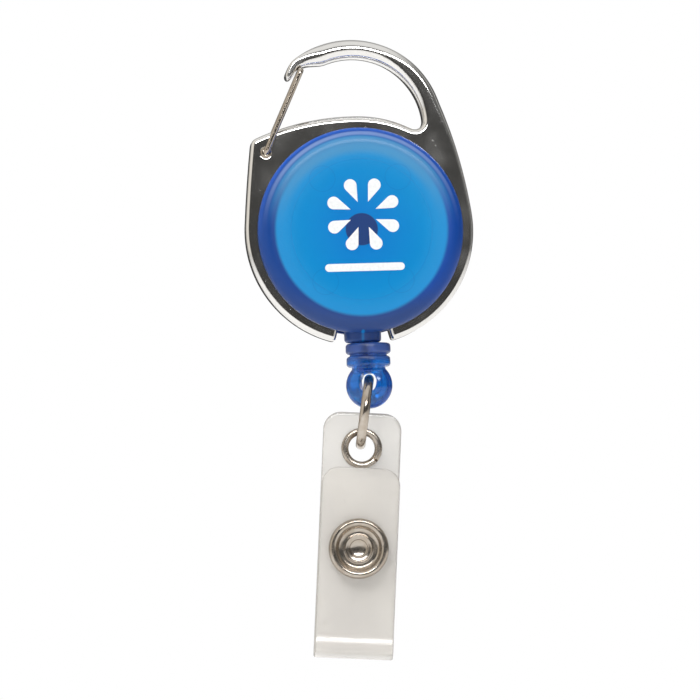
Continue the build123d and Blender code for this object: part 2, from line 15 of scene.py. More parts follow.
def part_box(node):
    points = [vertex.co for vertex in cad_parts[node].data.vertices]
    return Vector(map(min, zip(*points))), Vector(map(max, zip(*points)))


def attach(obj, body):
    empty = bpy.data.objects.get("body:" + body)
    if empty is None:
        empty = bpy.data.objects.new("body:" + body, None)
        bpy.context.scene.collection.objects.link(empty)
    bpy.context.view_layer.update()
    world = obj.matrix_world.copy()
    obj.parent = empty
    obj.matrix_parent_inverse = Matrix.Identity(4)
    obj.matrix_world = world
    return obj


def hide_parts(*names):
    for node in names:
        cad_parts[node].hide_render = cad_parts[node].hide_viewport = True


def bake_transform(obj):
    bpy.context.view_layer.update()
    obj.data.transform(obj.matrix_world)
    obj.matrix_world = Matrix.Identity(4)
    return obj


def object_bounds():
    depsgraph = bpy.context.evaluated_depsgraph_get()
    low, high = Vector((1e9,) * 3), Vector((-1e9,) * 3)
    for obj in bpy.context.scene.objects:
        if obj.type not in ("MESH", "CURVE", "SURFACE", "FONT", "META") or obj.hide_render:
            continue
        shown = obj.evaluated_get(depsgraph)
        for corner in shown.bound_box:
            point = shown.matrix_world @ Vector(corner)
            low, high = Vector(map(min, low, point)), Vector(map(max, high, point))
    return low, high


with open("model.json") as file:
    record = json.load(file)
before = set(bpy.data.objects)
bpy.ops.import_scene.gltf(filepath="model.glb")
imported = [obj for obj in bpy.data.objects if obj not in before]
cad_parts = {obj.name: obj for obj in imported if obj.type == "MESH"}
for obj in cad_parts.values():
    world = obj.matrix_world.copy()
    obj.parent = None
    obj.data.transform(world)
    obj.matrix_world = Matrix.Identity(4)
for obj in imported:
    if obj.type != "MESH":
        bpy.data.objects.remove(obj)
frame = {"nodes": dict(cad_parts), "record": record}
CAD_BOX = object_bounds()

bl_info = {
    "name": "Badge Reel",
    "version": (1, 0, 0),
    "blender": (4, 5, 0),
    "location": "View3D > Sidebar > Badge Reel",
    "description": "Builds the finish of a retractable badge reel around its CAD frame",
    "category": "Object",
}

MM = 0.001

# What the finishes and the finer meshes follow on the CAD pieces, in mm.
FACE_RADIUS, SHOULDER_START = 13.05, 13.75      # the flat face, and where its shoulder has turned
LIP_RADIUS = 15.05          # middle of the painted highlight along the top of the case's edge
HUB_RADIUS = 2.5            # spool's hub, dark behind the face
FLANGE_RADIUS = 11.0        # spool's flange, faint behind the face
PIN_ACROSS, PIN_UP, PIN_RADIUS = 5.9, 8.0, 2.0      # the four ejector-pin marks
BORE_X, BORE_GLINT_Z = -0.2, -15.8      # painted light of the cord bore seen through the outlet, and its painted glint
BEAD_NECK = (-20.6, -19.6)  # where the bead's frosted barrel turns to its clear eye
CASTING_BEVEL = 0.35
DIMPLE_RADIUS = 0.95        # round the gate's pivot
MOUTH_UP = 2.75             # cord outlet's mouth, above the case's lowest point
CORD_CORE, CORD_STRAND = 0.33, 0.06
STRAP_HALF, STRAP_CORNER = 6.1, 2.75
BACK_TOP, FLAP_TOP, FOLD_FOOT = 5.55, -3.08, -32.42     # along the strap, from the eyelet
EYELET_HOLE, SNAP_HOLE = 2.4, 1.5
EYELET_BORE = 2.06
EYELET_SPLIT = -42.0        # bearing of the split in its flange, in degrees

# The stage, in metres and degrees.
TARGET = Vector((-0.00225, -0.007, -0.01857))
VIEW_TURN, VIEW_TILT, VIEW_ROLL = -5.0, -3.0, 1.9
SEEN_WIDTH, SENSOR_MM = 0.1087, 36.0
FLOOR_DROP, FLOOR_RADIUS, FLOOR_STEPS = 0.06, 1.2, 96
LAMPS = (
    # name, place, aim, width and height, watts, whether the gloss shows it
    ("key", (-0.22, -0.36, 0.60), TARGET, (0.30, 0.30), 4.1, False),
    ("fill", (0.45, -0.50, 0.00), TARGET, (0.50, 0.50), 0.6, False),
    ("back", (0.10, 0.60, 0.35), TARGET, (0.50, 0.50), 2.5, False),
    ("strip", (0.06, -0.72, 0.28), Vector((0.0, 0.0, -0.06)), (0.50, 0.12), 3.0, True),
)


# ---------------------------------------------------------------- settings
class BadgeReelSizes(PropertyGroup):
    """Sizes a maker would change."""

    casting_round: FloatProperty(
        name="Casting edge", description="Rounding of the frame's edges round the reel",
        default=0.72 * MM, unit="LENGTH",
    )
    loop_round: FloatProperty(
        name="Loop edge", description="Rounding of the carabiner loop's edges",
        default=1.05 * MM, unit="LENGTH",
    )
    mark_radius: FloatProperty(
        name="Mark radius", description="Outside of the printed ring of drops",
        default=5.9 * MM, unit="LENGTH",
    )
    mark_drops: IntProperty(
        name="Drops", description="Drops in the printed ring", default=8, min=3, max=24
    )
    sheet_thickness: FloatProperty(
        name="Strap sheet", description="Thickness of the vinyl", default=0.6 * MM, unit="LENGTH"
    )
    lathe_steps: IntProperty(
        name="Lathe steps", description="Segments round a turned piece", default=128, min=24, max=512
    )
    camera_distance: FloatProperty(
        name="Camera distance", description="From the lens to the reel", default=0.7, unit="LENGTH"
    )


class BadgeReelColours(PropertyGroup):
    """Colours a maker would change."""

    case_face: FloatVectorProperty(
        name="Case face", description="Bright blue towards the rim of the face", default=(0.0, 0.26, 0.62),
        subtype="COLOR", size=3, min=0.0, max=1.0,
    )
    case_centre: FloatVectorProperty(
        name="Case centre", description="Deeper blue over the spool's hub", default=(0.0, 0.20, 0.60),
        subtype="COLOR", size=3, min=0.0, max=1.0,
    )
    case_edge: FloatVectorProperty(
        name="Case shoulder", description="Deep blue of the rounded shoulder",
        default=(0.003, 0.050, 0.26), subtype="COLOR", size=3, min=0.0, max=1.0,
    )
    bead: FloatVectorProperty(
        name="Bead", description="Translucent blue of the bead", default=(0.0, 0.16, 0.60),
        subtype="COLOR", size=3, min=0.0, max=1.0,
    )
    chrome: FloatVectorProperty(
        name="Chrome", description="Plated casting", default=(0.84, 0.83, 0.81),
        subtype="COLOR", size=3, min=0.0, max=1.0,
    )
    nickel: FloatVectorProperty(
        name="Nickel", description="Plated pressings and wire", default=(0.74, 0.67, 0.59),
        subtype="COLOR", size=3, min=0.0, max=1.0,
    )
    vinyl: FloatVectorProperty(
        name="Vinyl", description="Cloudy clear strap", default=(0.83, 0.80, 0.755),
        subtype="COLOR", size=3, min=0.0, max=1.0,
    )
    ink: FloatVectorProperty(
        name="Print", description="White ink of the mark", default=(0.90, 0.92, 0.94),
        subtype="COLOR", size=3, min=0.0, max=1.0,
    )


# ---------------------------------------------------------------- shader maths
class Field:
    """A shader socket that takes part in Python arithmetic."""

    def __init__(self, shader, socket):
        self.shader = shader
        self.socket = socket

    def maths(self, operation, *values):
        return self.shader.value("ShaderNodeMath", {"operation": operation}, dict(enumerate(values)))

    def __add__(self, other):
        return self.maths("ADD", self, other)

    def __radd__(self, other):
        return self.maths("ADD", other, self)

    def __sub__(self, other):
        return self.maths("SUBTRACT", self, other)

    def __rsub__(self, other):
        return self.maths("SUBTRACT", other, self)

    def __mul__(self, other):
        return self.maths("MULTIPLY", self, other)

    def __rmul__(self, other):
        return self.maths("MULTIPLY", other, self)

    def __truediv__(self, other):
        return self.maths("DIVIDE", self, other)

    def __rtruediv__(self, other):
        return self.maths("DIVIDE", other, self)

    def __pow__(self, other):
        return self.maths("POWER", self, other)

    def __abs__(self):
        return self.maths("ABSOLUTE", self)

    def larger(self, other):
        return self.maths("MAXIMUM", self, other)

    def ramp(self, low, high, soft=True):
        """0 below low, 1 above high, and a smooth step between them."""
        settings = {"interpolation_type": "SMOOTHSTEP" if soft else "LINEAR"}
        return self.shader.value(
            "ShaderNodeMapRange", settings, {"Value": self, "From Min": low, "From Max": high}
        )


class Nodes:
    """Fills one node tree, and does arithmetic with its sockets."""

    def __init__(self, tree):
        self.tree = tree
        tree.nodes.clear()

    def node(self, kind, settings, values):
        """Adds a node: its settings first, then the values or links of its sockets."""
        made = self.tree.nodes.new(kind)
        for name, setting in settings.items():
            setattr(made, name, setting)
        for name, value in values.items():
            socket = made.inputs[name]
            if isinstance(value, Field):
                self.tree.links.new(value.socket, socket)
            elif hasattr(value, "__len__") and len(value) == 3 and len(socket.default_value) == 4:
                socket.default_value = (*value, 1.0)
            else:
                socket.default_value = value
        return made

    def value(self, kind, settings, values, output=0):
        return Field(self, self.node(kind, settings, values).outputs[output])

    def place(self):
        """Object coordinates, in metres."""
        return self.value("ShaderNodeTexCoord", {}, {}, "Object")

    def axes(self, vector=None):
        """The three numbers of a vector."""
        split = self.node("ShaderNodeSeparateXYZ", {}, {0: vector or self.place()})
        return [Field(self, split.outputs[axis]) for axis in range(3)]

    def blend(self, factor, first, second):
        """Mixes two colours."""
        made = self.node("ShaderNodeMix", {"data_type": "RGBA"}, {0: factor, 6: first, 7: second})
        return Field(self, made.outputs[2])


class Shader(Nodes):
    """One material; the names of its inputs are the sockets' own, with underscores for spaces."""

    def __init__(self, name, **constants):
        self.material = bpy.data.materials.new(name)
        self.material.use_nodes = True
        super().__init__(self.material.node_tree)
        constants = {key.replace("_", " "): value for key, value in constants.items()}
        self.surface = self.node("ShaderNodeBsdfPrincipled", {}, constants)
        output = self.node("ShaderNodeOutputMaterial", {}, {})
        self.tree.links.new(self.surface.outputs[0], output.inputs["Surface"])

    def shape(self, **fields):
        """Feeds the surface, and hands the shader back."""
        for name, field in fields.items():
            self.tree.links.new(field.socket, self.surface.inputs[name.replace("_", " ")])
        return self

    def noise(self, scale, detail=2.0, roughness=0.5, vector=None):
        values = {"Vector": vector or self.place(), "Scale": scale, "Detail": detail, "Roughness": roughness}
        return self.value("ShaderNodeTexNoise", {}, values)

    def stretched(self, x, y, z):
        """Object coordinates scaled apart along the axes."""
        return self.value(
            "ShaderNodeVectorMath", {"operation": "MULTIPLY"}, {0: self.place(), 1: (x, y, z)}
        )

    def bump(self, height, distance):
        return self.value("ShaderNodeBump", {}, {"Height": height, "Distance": distance, "Strength": 1.0})

    def reel_place(self):
        """X, Z and the distance from the reel's axis."""
        x, _, z = self.axes()
        return x, z, (x * x + z * z) ** 0.5

    def ring_line(self, radius, place, width):
        """A thin soft line at one radius; place and width are in mm."""
        return 1.0 - abs(radius - place * MM).ramp(0.3 * width * MM, width * MM)

    def cover(self, thing):
        """Puts this material on every slot of an object."""
        thing.data.materials.clear()
        thing.data.materials.append(self.material)
        return thing


# ---------------------------------------------------------------- finishes
FINISHES = {}


def finish_named(name):
    """Each finish is made once and shared."""
    if name not in FINISHES:
        FINISHES[name] = plated(name, *PLATINGS[name]) if name in PLATINGS else MAKERS[name]()
    return FINISHES[name]


def scaled(colour, *factors):
    """A colour with its channels multiplied, all by one factor or each by its own."""
    return tuple(c * k for c, k in zip(colour, factors * 3 if len(factors) == 1 else factors))


def chrome_casting():
    colours = bpy.context.scene.badge_reel_colours
    shader = Shader("chrome_casting", Metallic=1.0, Roughness=0.1)
    ripple = shader.noise(260.0, 2.0)
    grain = shader.noise(5200.0, 3.0, 0.6)
    pits = shader.noise(1900.0, 2.0).ramp(0.70, 0.76)
    stain = shader.noise(150.0, 3.0).ramp(0.35, 0.75)
    tone = shader.blend(stain, tuple(colours.chrome), scaled(colours.chrome, 0.9))
    height = ripple * 0.4 + grain * 0.02 - pits * 0.06
    shader.shape(
        Base_Color=tone,
        Roughness=0.07 + stain * 0.06 + grain * 0.04 + pits * 0.1,
        Normal=shader.bump(height, 0.06 * MM),
    )
    return shader


def plated(name, depth, rough):
    """Warm nickel plate; depth darkens it, as painted shade for a part that reflects darker surroundings, and
    rough dulls it.
    """
    colours = bpy.context.scene.badge_reel_colours
    shader = Shader(name, Metallic=1.0, Roughness=rough)
    grain = shader.noise(8000.0, 3.0, 0.6)
    cloud = shader.noise(700.0, 2.0).ramp(0.3, 0.7)
    warm = scaled(colours.nickel, depth)
    shader.shape(
        Base_Color=shader.blend(cloud, warm, scaled(warm, 0.84, 0.80, 0.75)),
        Roughness=rough + cloud * 0.08 + grain * 0.05,
        Normal=shader.bump(grain * 0.2 + cloud, 0.006 * MM),
    )
    return shader


def moulded_grain(shader, radius):
    """Spark-eroded grain of the mould, fading out towards the face's middle."""
    fine = shader.noise(4200.0, 2.0, 0.6)
    frost = radius.ramp(9.0 * MM, 13.5 * MM)
    return shader.bump(fine * (0.35 + frost), 0.012 * MM), frost


def case_front():
    """The face's tones follow what lies behind the translucent wall: hub, spool flange, shoulder; over them
    lie painted light and shade: a shoulder lighter to the right and darker low down, a painted sheen,
    highlight and lighter rim along the top, and painted light and a glint in the cord bore.
    """
    colours = bpy.context.scene.badge_reel_colours
    face, centre, edge = (tuple(c) for c in (colours.case_face, colours.case_centre, colours.case_edge))
    shader = Shader(
        "case_front", Roughness=0.3, IOR=1.49, Specular_IOR_Level=0.3, Coat_Weight=0.06, Coat_Roughness=0.12
    )
    x, z, radius = shader.reel_place()
    cloud = shader.noise(110.0, 2.0)
    tone = shader.blend((radius + cloud * 4.0 * MM).ramp(3.0 * MM, 14.0 * MM), centre, face)
    shoulder = radius.ramp(FACE_RADIUS * MM, SHOULDER_START * MM)
    # painted light and shade on the shoulder: lighter towards the right, darker low down
    side = shader.blend(x.ramp(-12.0 * MM, 13.0 * MM), edge, (0.0, 0.060, 0.36))
    side = shader.blend(1.0 - z.ramp(-14.0 * MM, -8.0 * MM), side, (0.018, 0.060, 0.24))
    tone = shader.blend(shoulder, tone, side)
    # painted reflection: a grey-blue sheen of the top light across the upper face and shoulder
    painted_sheen_tone = shader.blend(cloud, (0.075, 0.27, 0.50), (0.045, 0.29, 0.58))
    painted_sheen_band = radius.ramp(11.3 * MM, 12.8 * MM) * (1.0 - radius.ramp(14.3 * MM, 15.0 * MM))
    tone = shader.blend(painted_sheen_band * z.ramp(0.0, 11.0 * MM) * 0.85, tone, painted_sheen_tone)
    # painted highlight: a lavender arc where the top of the case's edge catches the light
    painted_lip_highlight = z.ramp(0.0, 12.0 * MM) * (1.0 - abs(radius - LIP_RADIUS * MM).ramp(0.1 * MM, 0.45 * MM))
    tone = shader.blend(painted_lip_highlight * 0.55, tone, (0.26, 0.38, 0.66))
    # painted light: the outermost rim a brighter blue, most towards the top
    rim = radius.ramp(15.35 * MM, 15.7 * MM) * z.ramp(-4.0 * MM, 12.0 * MM)
    tone = shader.blend(rim * 0.8, tone, (0.0, 0.085, 0.50))
    hub = 1.0 - radius.ramp((HUB_RADIUS - 0.08) * MM, (HUB_RADIUS + 0.1) * MM)
    tone = shader.blend(hub * 0.9, tone, (0.018, 0.035, 0.15))
    flange = shader.ring_line(radius, FLANGE_RADIUS, 0.16)
    pin = ((abs(x) - PIN_ACROSS * MM) ** 2.0 + (abs(z) - PIN_UP * MM) ** 2.0) ** 0.5
    pins = shader.ring_line(pin, PIN_RADIUS, 0.11)
    lines = (flange * 0.5).larger(pins) * (1.0 - shoulder)
    tone = shader.blend(lines * 0.24, tone, (0.0, 0.11, 0.42))
    # painted light: a bright azure line down the cord bore seen through the outlet, and a painted glint near
    # its top
    aside = x - BORE_X * MM
    bore = (1.0 - abs(aside).ramp(0.06 * MM, 0.34 * MM)) * (1.0 - z.ramp(-16.0 * MM, -15.5 * MM))
    glint = 1.0 - (aside**2.0 + (z - BORE_GLINT_Z * MM) ** 2.0).ramp(0.02 * MM * MM, 0.12 * MM * MM)
    tone = shader.blend((bore * 0.35).larger(glint * 0.55), tone, (0.0, 0.33, 0.85))
    grain, frost = moulded_grain(shader, radius)
    shader.shape(Base_Color=tone, Roughness=0.20 + frost * 0.14 + cloud * 0.04, Normal=grain)
    return shader


def case_rear():
    colours = bpy.context.scene.badge_reel_colours
    edge, face = tuple(colours.case_edge), scaled(colours.case_centre, 0.75)
    shader = Shader("case_rear", Roughness=0.3, IOR=1.49, Coat_Weight=0.25, Coat_Roughness=0.12)
    _, _, radius = shader.reel_place()
    cloud = shader.noise(110.0, 2.0)
    tone = shader.blend(radius.ramp(12.6 * MM, 14.0 * MM), face, edge)
    sprue = 1.0 - radius.ramp(0.55 * MM, 0.75 * MM)
    tone = shader.blend(sprue * 0.6, tone, (0.03, 0.12, 0.42))
    arbor = shader.ring_line(radius, HUB_RADIUS + 0.1, 0.15)
    seen = shader.ring_line(radius, FLANGE_RADIUS, 0.2).larger(arbor)
    tone = shader.blend(seen * 0.3, tone, edge)
    grain, frost = moulded_grain(shader, radius)
    shader.shape(Base_Color=tone, Roughness=0.26 + frost * 0.12 + cloud * 0.06, Normal=grain)
    return shader


def bead_moulding():
    colours = bpy.context.scene.badge_reel_colours
    shader = Shader(
        "bead_moulding", Roughness=0.2, IOR=1.49, Transmission_Weight=0.7, Coat_Weight=0.2, Coat_Roughness=0.1
    )
    _, _, z = shader.axes()
    frost = z.ramp(*(level * MM for level in BEAD_NECK))
    cloud = shader.noise(420.0, 2.0)
    tone = shader.blend(frost * 0.75 + cloud * 0.15, tuple(colours.bead), (0.045, 0.090, 0.34))
    # painted light: bright azure spots of focused light in the clear eye
    painted_caustic = shader.noise(330.0, 1.0).ramp(0.54, 0.66) * (1.0 - frost)
    tone = shader.blend(painted_caustic * 0.8, tone, (0.0, 0.32, 0.92))
    shader.shape(
        Base_Color=tone,
        Roughness=0.12 + frost * 0.26 + cloud * 0.06,
        Normal=shader.bump(shader.noise(3800.0, 2.0) * frost + cloud, 0.012 * MM),
    )
    return shader


def vinyl():
    """The rim attribute thickens the tone along the cut edge of the sheet."""
    colours = bpy.context.scene.badge_reel_colours
    shader = Shader("vinyl", Roughness=0.22, IOR=1.5, Alpha=0.6, Coat_Weight=0.3, Coat_Roughness=0.1)
    cloud = shader.noise(120.0, 3.0)
    grain = shader.noise(4200.0, 2.0, 0.6)
    specks = shader.noise(900.0, 2.0).ramp(0.72, 0.80)
    rim = shader.value("ShaderNodeAttribute", {"attribute_name": "rim"}, {}, "Fac")
    tone = shader.blend(cloud.ramp(0.35, 0.7), tuple(colours.vinyl), scaled(colours.vinyl, 0.93, 0.93, 0.94))
    tone = shader.blend(rim * 0.75 + specks * 0.12, tone, (0.30, 0.29, 0.27))
    shader.shape(
        Base_Color=tone,
        Roughness=0.09 + grain * 0.06,
        Alpha=0.40 + cloud * 0.10 + rim * 0.25,
        Normal=shader.bump(grain * 0.4 + cloud * 2.0, 0.012 * MM),
    )
    return shader


def braided_cord():
    shader = Shader("braided_cord", Roughness=0.7)
    weave = shader.value(
        "ShaderNodeTexWave", {"wave_type": "BANDS", "bands_direction": "DIAGONAL"},
        {"Vector": shader.place(), "Scale": 900.0, "Distortion": 1.0},
        "Fac",
    )
    shader.shape(
        Base_Color=shader.blend(weave, (0.012, 0.013, 0.018), (0.04, 0.042, 0.05)),
        Roughness=0.55 + weave * 0.2,
        Normal=shader.bump(weave, 0.03 * MM),
    )
    return shader


def brass_crimp():
    shader = Shader("brass_crimp", Metallic=1.0, Roughness=0.3)
    cloud = shader.noise(900.0, 2.0)
    shader.shape(
        Base_Color=shader.blend(cloud, (0.55, 0.36, 0.16), (0.36, 0.22, 0.10)),
        Roughness=0.22 + cloud * 0.2,
    )
    return shader


def spool_plastic():
    shader = Shader("spool_plastic", Roughness=0.45)
    cloud = shader.noise(500.0, 3.0)
    shader.shape(
        Base_Color=shader.blend(cloud, (0.62, 0.64, 0.68), (0.50, 0.53, 0.58)),
        Roughness=0.35 + cloud * 0.2,
    )
    return shader


def blued_steel():
    shader = Shader("blued_steel", Metallic=1.0, Roughness=0.25)
    grain = shader.noise(3000.0, 2.0, vector=shader.stretched(1.0, 12.0, 1.0))
    shader.shape(
        Base_Color=shader.blend(grain, (0.20, 0.23, 0.30), (0.34, 0.36, 0.40)),
        Roughness=0.2 + grain * 0.2,
    )
    return shader


def white_print():
    colours = bpy.context.scene.badge_reel_colours
    shader = Shader("white_print", Roughness=0.5)
    speckle = shader.noise(2600.0, 3.0, 0.65)
    shader.shape(
        Base_Color=shader.blend(speckle.ramp(0.4, 0.8), tuple(colours.ink), scaled(colours.ink, 0.9)),
        Roughness=0.4 + speckle * 0.2,
        Normal=shader.bump(speckle, 0.004 * MM),
    )
    return shader


def studio_floor():
    shader = Shader("studio_floor", Roughness=0.9)
    cloud = shader.noise(3.0, 2.0)
    shader.shape(Base_Color=shader.blend(cloud, (0.86, 0.86, 0.86), (0.83, 0.83, 0.83)))
    return shader


PLATINGS = {
    # depth of the tone (below 1 a painted shade: a darker copy of the one nickel), roughness
    "nickel_plate": (1.0, 0.08),
    "snap_nickel": (0.70, 0.13),
    "ring_nickel": (0.76, 0.10),
    "eyelet_nickel": (0.66, 0.20),
    "gate_nickel": (0.72, 0.06),
}
MAKERS = {
    maker.__name__: maker
    for maker in (
        chrome_casting, case_front, case_rear, bead_moulding, vinyl, braided_cord, brass_crimp,
        spool_plastic, blued_steel, white_print, studio_floor,
    )
}


# ---------------------------------------------------------------- mesh helpers
def middle(node):
    """Centre of a CAD node's box."""
    low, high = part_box(node)
    return (low + high) / 2


def mesh_object(name, points, faces, sharp=35.0, rim=None):
    """A named mesh in the row frame, smooth but for its sharp edges."""
    mesh = bpy.data.meshes.new(name)
    mesh.from_pydata([tuple(p) for p in points], [], faces)
    if rim is not None:
        mesh.attributes.new("rim", "FLOAT", "POINT").data.foreach_set("value", rim.astype(np.float32))
    work = bmesh.new()
    work.from_mesh(mesh)
    bmesh.ops.remove_doubles(work, verts=work.verts, dist=1e-7)
    bmesh.ops.recalc_face_normals(work, faces=work.faces)
    for face in work.faces:
        face.smooth = True
    for edge in work.edges:
        if len(edge.link_faces) == 2:
            edge.smooth = edge.calc_face_angle(0.0) < radians(sharp)
    work.to_mesh(mesh)
    work.free()
    thing = bpy.data.objects.new(name, mesh)
    bpy.context.scene.collection.objects.link(thing)
    return thing


def fitted(thing, finish, slot, body, *nodes):
    """Gives a piece its finish and its body, and the CAD nodes it stands for."""
    finish_named(finish).cover(thing)
    if nodes:
        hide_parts(*nodes)
    if body:
        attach(thing, body)
    return thing


def turned(name, profile, x, z, notch=None):
    """A piece turned about an axis along Y through (x, z); the profile is (radius, y), in mm.

    notch(angle, radius) gives an extra y, for a mark cut in one place.
    """
    steps = bpy.context.scene.badge_reel_sizes.lathe_steps
    points, faces = [], []
    count = len(profile)
    for step in range(steps):
        angle = 2 * pi * step / steps
        for radius, y in profile:
            y += notch(angle, radius) if notch else 0.0
            points.append(upright(x + radius * cos(angle), y, z + radius * sin(angle)))
    for step in range(steps):
        after = (step + 1) % steps
        for index in range(count - 1):
            a, b = step * count + index, after * count + index
            faces.append((a, b, b + 1, a + 1))
    return mesh_object(name, points, faces)


def eased_copy(name, node, cell, passes):
    """A CAD node's shape with every edge eased, as a new mesh."""
    thing = bpy.data.objects.new(name, frame["nodes"][node].data.copy())
    bpy.context.scene.collection.objects.link(thing)
    cells = thing.modifiers.new("cells", "REMESH")
    cells.mode = "VOXEL"
    cells.voxel_size = cell * MM
    ease = thing.modifiers.new("ease", "SMOOTH")
    ease.factor = 0.5
    ease.iterations = passes
    ready = thing.evaluated_get(bpy.context.evaluated_depsgraph_get())
    mesh = bpy.data.meshes.new_from_object(ready)
    thing.modifiers.clear()
    thing.data = mesh
    for face in mesh.polygons:
        face.use_smooth = True
    return thing


def joint(name):
    """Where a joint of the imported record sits, in mm, and its direction."""
    found = next(j for j in frame["record"]["behaviour"]["joints"] if j["name"] == name)
    return Vector(found["pos_m"]) / MM, found["axis"]


def bearing(a, b):
    """Angle of a point from +X, in degrees."""
    return degrees(atan2(b, a))


def signed_area(loop):
    """Positive for a closed line that turns left."""
    after = np.roll(loop, -1, 0)
    return 0.5 * float(np.sum(loop[:, 0] * after[:, 1] - after[:, 0] * loop[:, 1]))


def upright(across, depth, along):
    """Millimetres seen from the front, as a point of the row frame."""
    return (across * MM, depth * MM, along * MM)


def evenly(line, spacing, closed=True):
    """Points at an even spacing along a line of (a, b) points."""
    points = np.array(line, float)
    if closed:
        points = np.vstack([points, points[:1]])
    lengths = np.concatenate([[0.0], np.cumsum(np.hypot(*np.diff(points, axis=0).T))])
    places = np.linspace(0.0, lengths[-1], max(4, round(lengths[-1] / spacing) + 1))
    line = np.column_stack([np.interp(places, lengths, points[:, axis]) for axis in range(2)])
    return line[:-1] if closed else line


def softened(line, passes, fixed=None):
    """Eases the corners of a closed line; fixed marks the points that stay."""
    for _ in range(passes):
        eased = 0.5 * line + 0.25 * (np.roll(line, 1, 0) + np.roll(line, -1, 0))
        line = eased if fixed is None else np.where(fixed[:, None], line, eased)
    return line


def away_from(points, starts, ends):
    """Distance of each point from the nearest of many segments."""
    nearest = np.full(len(points), 1e9)
    for start, end in zip(starts, ends):
        run = end - start
        share = np.clip(((points - start) @ run) / max(run @ run, 1e-12), 0, 1)
        gap = points - (start + share[:, None] * run)
        nearest = np.minimum(nearest, np.hypot(gap[:, 0], gap[:, 1]))
    return nearest


def within(points, loops):
    """Even-odd test against closed loops."""
    inside = np.zeros(len(points), bool)
    for loop in loops:
        for one, two in zip(loop, np.roll(loop, -1, 0)):
            if one[1] == two[1]:
                continue
            level = (points[:, 1] > min(one[1], two[1])) & (points[:, 1] <= max(one[1], two[1]))
            cross = one[0] + (points[:, 1] - one[1]) * (two[0] - one[0]) / (two[1] - one[1])
            inside ^= level & (points[:, 0] < cross)
    return inside


RINGS = (0.04, 0.1, 0.18, 0.27, 0.36, 0.46, 0.57, 0.7, 0.84, 1.0, 1.2)    # shares of an edge's width


def eased_plate(name, loops, front, rear, ease, place, square=None, extra=(), dent=None):
    """A flat piece with rounded edges, made between closed lines in mm.

    Outlines turn left and holes turn right.  ease(points) gives the width and the depth of the
    rounding there, place(across, depth, along) puts a point in the row frame, square marks the
    loop points whose edge stays sharp, extra holds more inner points and dent(points) adds depth.
    """
    points = np.vstack(loops)
    square = np.zeros(len(points), bool) if square is None else square
    sides, inward, first = [], [], 0
    for loop in loops:
        count = len(loop)
        sides += [(first + i, first + (i + 1) % count) for i in range(count)]
        along = np.roll(loop, -1, 0) - np.roll(loop, 1, 0)
        along /= np.maximum(np.hypot(along[:, 0], along[:, 1]), 1e-9)[:, None]
        inward.append(np.column_stack([-along[:, 1], along[:, 0]]))
        first += count
    inward = np.vstack(inward)
    eased = [(a, b) for a, b in sides if not (square[a] and square[b])]
    starts, ends = points[[a for a, b in eased]], points[[b for a, b in eased]]
    width = ease(points)[0]
    cloud = [points]
    for share in RINGS:
        ring = (points + inward * (width * share)[:, None])[~square]
        clear = away_from(ring, starts, ends) > 0.93 * (width * share)[~square]
        cloud.append(ring[clear & within(ring, loops)])
    for more in extra:
        room = away_from(more, points[[a for a, b in sides]], points[[b for a, b in sides]]) > 0.1
        cloud.append(more[room & within(more, loops)])
    made = delaunay_2d_cdt([Vector(p) for p in np.vstack(cloud)], sides, [], 0, 1e-6)
    flat = np.array([tuple(v) for v in made[0]])
    triangles = np.array(made[2])
    triangles = triangles[within(flat[triangles].mean(1), loops)]
    width, drop = ease(flat)
    away = away_from(flat, starts, ends)
    lack = np.clip(1.0 - away / width, 0.0, 1.0)
    sunk = drop * (1.0 - np.sqrt(1.0 - lack**2))
    if dent is not None:
        sunk = sunk + dent(flat)
    count = len(flat)
    space = [place(a, front + y, b) for (a, b), y in zip(flat, sunk)]
    space += [place(a, rear - y, b) for (a, b), y in zip(flat, sunk)]
    faces = [tuple(t) for t in triangles]
    faces += [(c + count, b + count, a + count) for a, b, c in triangles]
    where = {was: now for now, kept in enumerate(made[3]) for was in kept}
    for a, b in sides:
        a, b = where[a], where[b]
        faces.append((b, a, a + count, b + count))
    return mesh_object(name, space, faces, sharp=50.0, rim=np.tile(lack, 2))


def grid_between(low, high, across, along):
    """A grid of points over a rectangle."""
    a, b = np.arange(low[0], high[0], across), np.arange(low[1], high[1], along)
    return np.stack(np.meshgrid(a, b), -1).reshape(-1, 2)


def rounded_box(left, low, right, high, radius):
    """A rectangle with round corners, as an even closed line turning left."""
    corners = [
        (right - radius, high - radius, 0), (left + radius, high - radius, 90),
        (left + radius, low + radius, 180), (right - radius, low + radius, 270),
    ]
    line = []
    for a, b, start in corners:
        angles = np.radians(np.linspace(start, start + 90, 16))
        line.append(np.column_stack([a + radius * np.cos(angles), b + radius * np.sin(angles)]))
    return evenly(np.vstack(line), 0.2)


def smooth_line(points, between):
    """A curve through (a, b) points, with extra points between them."""
    line = []
    count = len(points)
    for index in range(count - 1):
        before, here = Vector(points[max(index - 1, 0)]), Vector(points[index])
        after, beyond = Vector(points[index + 1]), Vector(points[min(index + 2, count - 1)])
        one, two = here + (after - before) / 6, after - (beyond - here) / 6
        line += [tuple(p) for p in interpolate_bezier(here, one, two, after, between + 1)[:-1]]
    return [*((p[0], p[1]) for p in line), tuple(points[-1])]


def circle(a, b, radius, count=72, turn=1):
    """A closed circle; turn is -1 for one that turns right."""
    angles = np.linspace(0.0, turn * 2 * pi, count, endpoint=False)
    return np.column_stack([a + radius * np.cos(angles), b + radius * np.sin(angles)])


